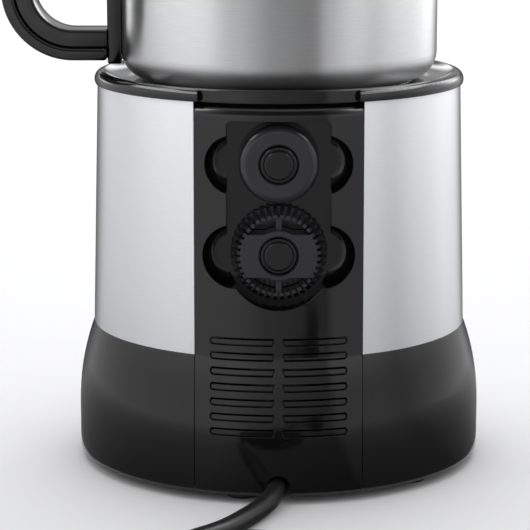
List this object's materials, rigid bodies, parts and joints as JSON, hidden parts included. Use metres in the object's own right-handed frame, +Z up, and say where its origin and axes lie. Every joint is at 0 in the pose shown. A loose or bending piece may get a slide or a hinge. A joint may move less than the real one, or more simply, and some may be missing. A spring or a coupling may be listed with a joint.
{
  "type": "milk frother",
  "caption": "Round induction milk frother: steel jug with a loop handle on a black and steel base, two discs stored in its back, mains lead.",
  "frame": {"origin": "on the base's axis, at the surface the feet stand on", "axes": "+Z up, -Y towards the controls, +Y towards the disc store, +X towards the jug's handle"},
  "size_m": [0.2092, 0.3421, 0.2433],
  "materials": {
    "black_gloss": "moulded, gloss",
    "black_matte": "moulded, fine matt",
    "brushed_steel": "brushed sheet",
    "glass_seat": "polished glass ceramic, black",
    "inner_plastic": "moulded, natural",
    "zinc_steel": "zinc plated",
    "aluminium_part": "extruded",
    "magnet": "nickel plated",
    "copper_coil": "enamelled litz wire",
    "ferrite": "sintered",
    "mica_sheet": "pressed sheet",
    "circuit_board": "solder mask",
    "board_part": "moulded components",
    "black_rubber": "moulded rubber",
    "clear_lens": "translucent",
    "bush_bronze": "sintered bronze",
    "clear_plastic": "clear moulded lid",
    "silicone": "silicone",
    "lead_sheath": "PVC sheath",
    "pin_nickel": "nickel plated brass"
  },
  "bodies": {
    "base": {"base_skirt": "black_gloss", "steel_wrap": "brushed_steel", "inner_chassis": "inner_plastic", "rear_panel": "black_gloss", "storage_posts": "black_gloss", "keeper_plates": "zinc_steel", "top_cover": "black_gloss", "seat_disc": "glass_seat", "motor_bracket": "zinc_steel", "motor_can": "zinc_steel", "motor_bushes": "bush_bronze", "motor_magnets": "ferrite", "motor_screws": "zinc_steel", "coil_former": "inner_plastic", "ferrite_bars": "ferrite", "induction_coil": "copper_coil", "insulation_sheet": "mica_sheet", "sensor_holder": "inner_plastic", "sensor_spring": "zinc_steel", "fan_frame": "black_matte", "fan_screws": "zinc_steel", "base_plate": "black_matte", "rubber_feet": "black_rubber", "base_screws": "zinc_steel", "power_board": "circuit_board", "heat_sink": "aluminium_part", "board_components": "board_part", "control_fascia": "black_gloss", "indicator_lenses": "clear_lens", "control_board": "circuit_board", "switches_and_lamps": "board_part", "mains_lead": "lead_sheath", "lead_tail": "lead_sheath", "lead_coil": "lead_sheath", "cord_bush": "black_rubber", "cord_clamp": "black_matte", "small_screws": "zinc_steel", "plug_body": "black_rubber", "plug_pins": "pin_nickel"},
    "fan_wheel": {"fan_rotor": "black_matte"},
    "drive": {"motor_shaft": "zinc_steel", "motor_armature": "copper_coil", "magnet_carrier": "inner_plastic", "drive_magnets": "magnet"},
    "sensor": {"sensor_cap": "aluminium_part"},
    "start_key": {"start_button": "black_matte"},
    "mode_key": {"mode_button": "black_matte"},
    "temperature_key": {"temperature_button": "black_matte"},
    "smooth_disc": {"stirring_disc": "black_matte", "stirring_disc_magnet": "magnet"},
    "froth_disc": {"whisk_disc": "black_matte", "whisk_disc_magnets": "magnet"},
    "jug": {"jug_body": "brushed_steel", "jug_spindle": "brushed_steel", "handle_grip": "black_gloss", "handle_core": "black_matte", "handle_spine": "black_matte"},
    "jug_lid": {"lid": "clear_plastic", "lid_seal": "silicone"},
    "cap": {"lid_cap": "clear_plastic"}
  },
  "joints": [
    {"name": "jug_lift", "type": "slide", "parent": "base", "child": "jug", "axis": [0, 0, 1], "range_m": [0, 0.12]},
    {"name": "lid_lift", "type": "slide", "parent": "jug", "child": "jug_lid", "axis": [0, 0, 1], "range_m": [0, 0.06]},
    {"name": "cap_lift", "type": "slide", "parent": "jug_lid", "child": "cap", "axis": [0, 0, 1], "range_m": [0, 0.03]},
    {"name": "stirring_disc_pull", "type": "slide", "parent": "base", "child": "smooth_disc", "axis": [0, 1, 0], "range_m": [0, 0.03]},
    {"name": "whisk_disc_pull", "type": "slide", "parent": "base", "child": "froth_disc", "axis": [0, 1, 0], "range_m": [0, 0.03]},
    {"name": "drive_spin", "type": "hinge", "parent": "base", "child": "drive", "pos_m": [0, 0, 0.13], "axis": [0, 0, 1], "continuous": true},
    {"name": "fan_spin", "type": "hinge", "parent": "base", "child": "fan_wheel", "pos_m": [0, 0.05, 0.0443], "axis": [0, 1, 0], "continuous": true},
    {"name": "sensor_press", "type": "slide", "parent": "base", "child": "sensor", "axis": [0, 0, 1], "range_m": [-0.0015, 0], "stiffness_N_per_m": 300, "deforming": ["sensor_spring"]},
    {"name": "start_press", "type": "slide", "parent": "base", "child": "start_key", "axis": [0, 1, 0], "range_m": [0, 0.001], "stiffness_N_per_m": 800},
    {"name": "mode_press", "type": "slide", "parent": "base", "child": "mode_key", "axis": [0, 1, 0], "range_m": [0, 0.001], "stiffness_N_per_m": 800},
    {"name": "temperature_press", "type": "slide", "parent": "base", "child": "temperature_key", "axis": [0, 1, 0], "range_m": [0, 0.001], "stiffness_N_per_m": 800}
  ]
}
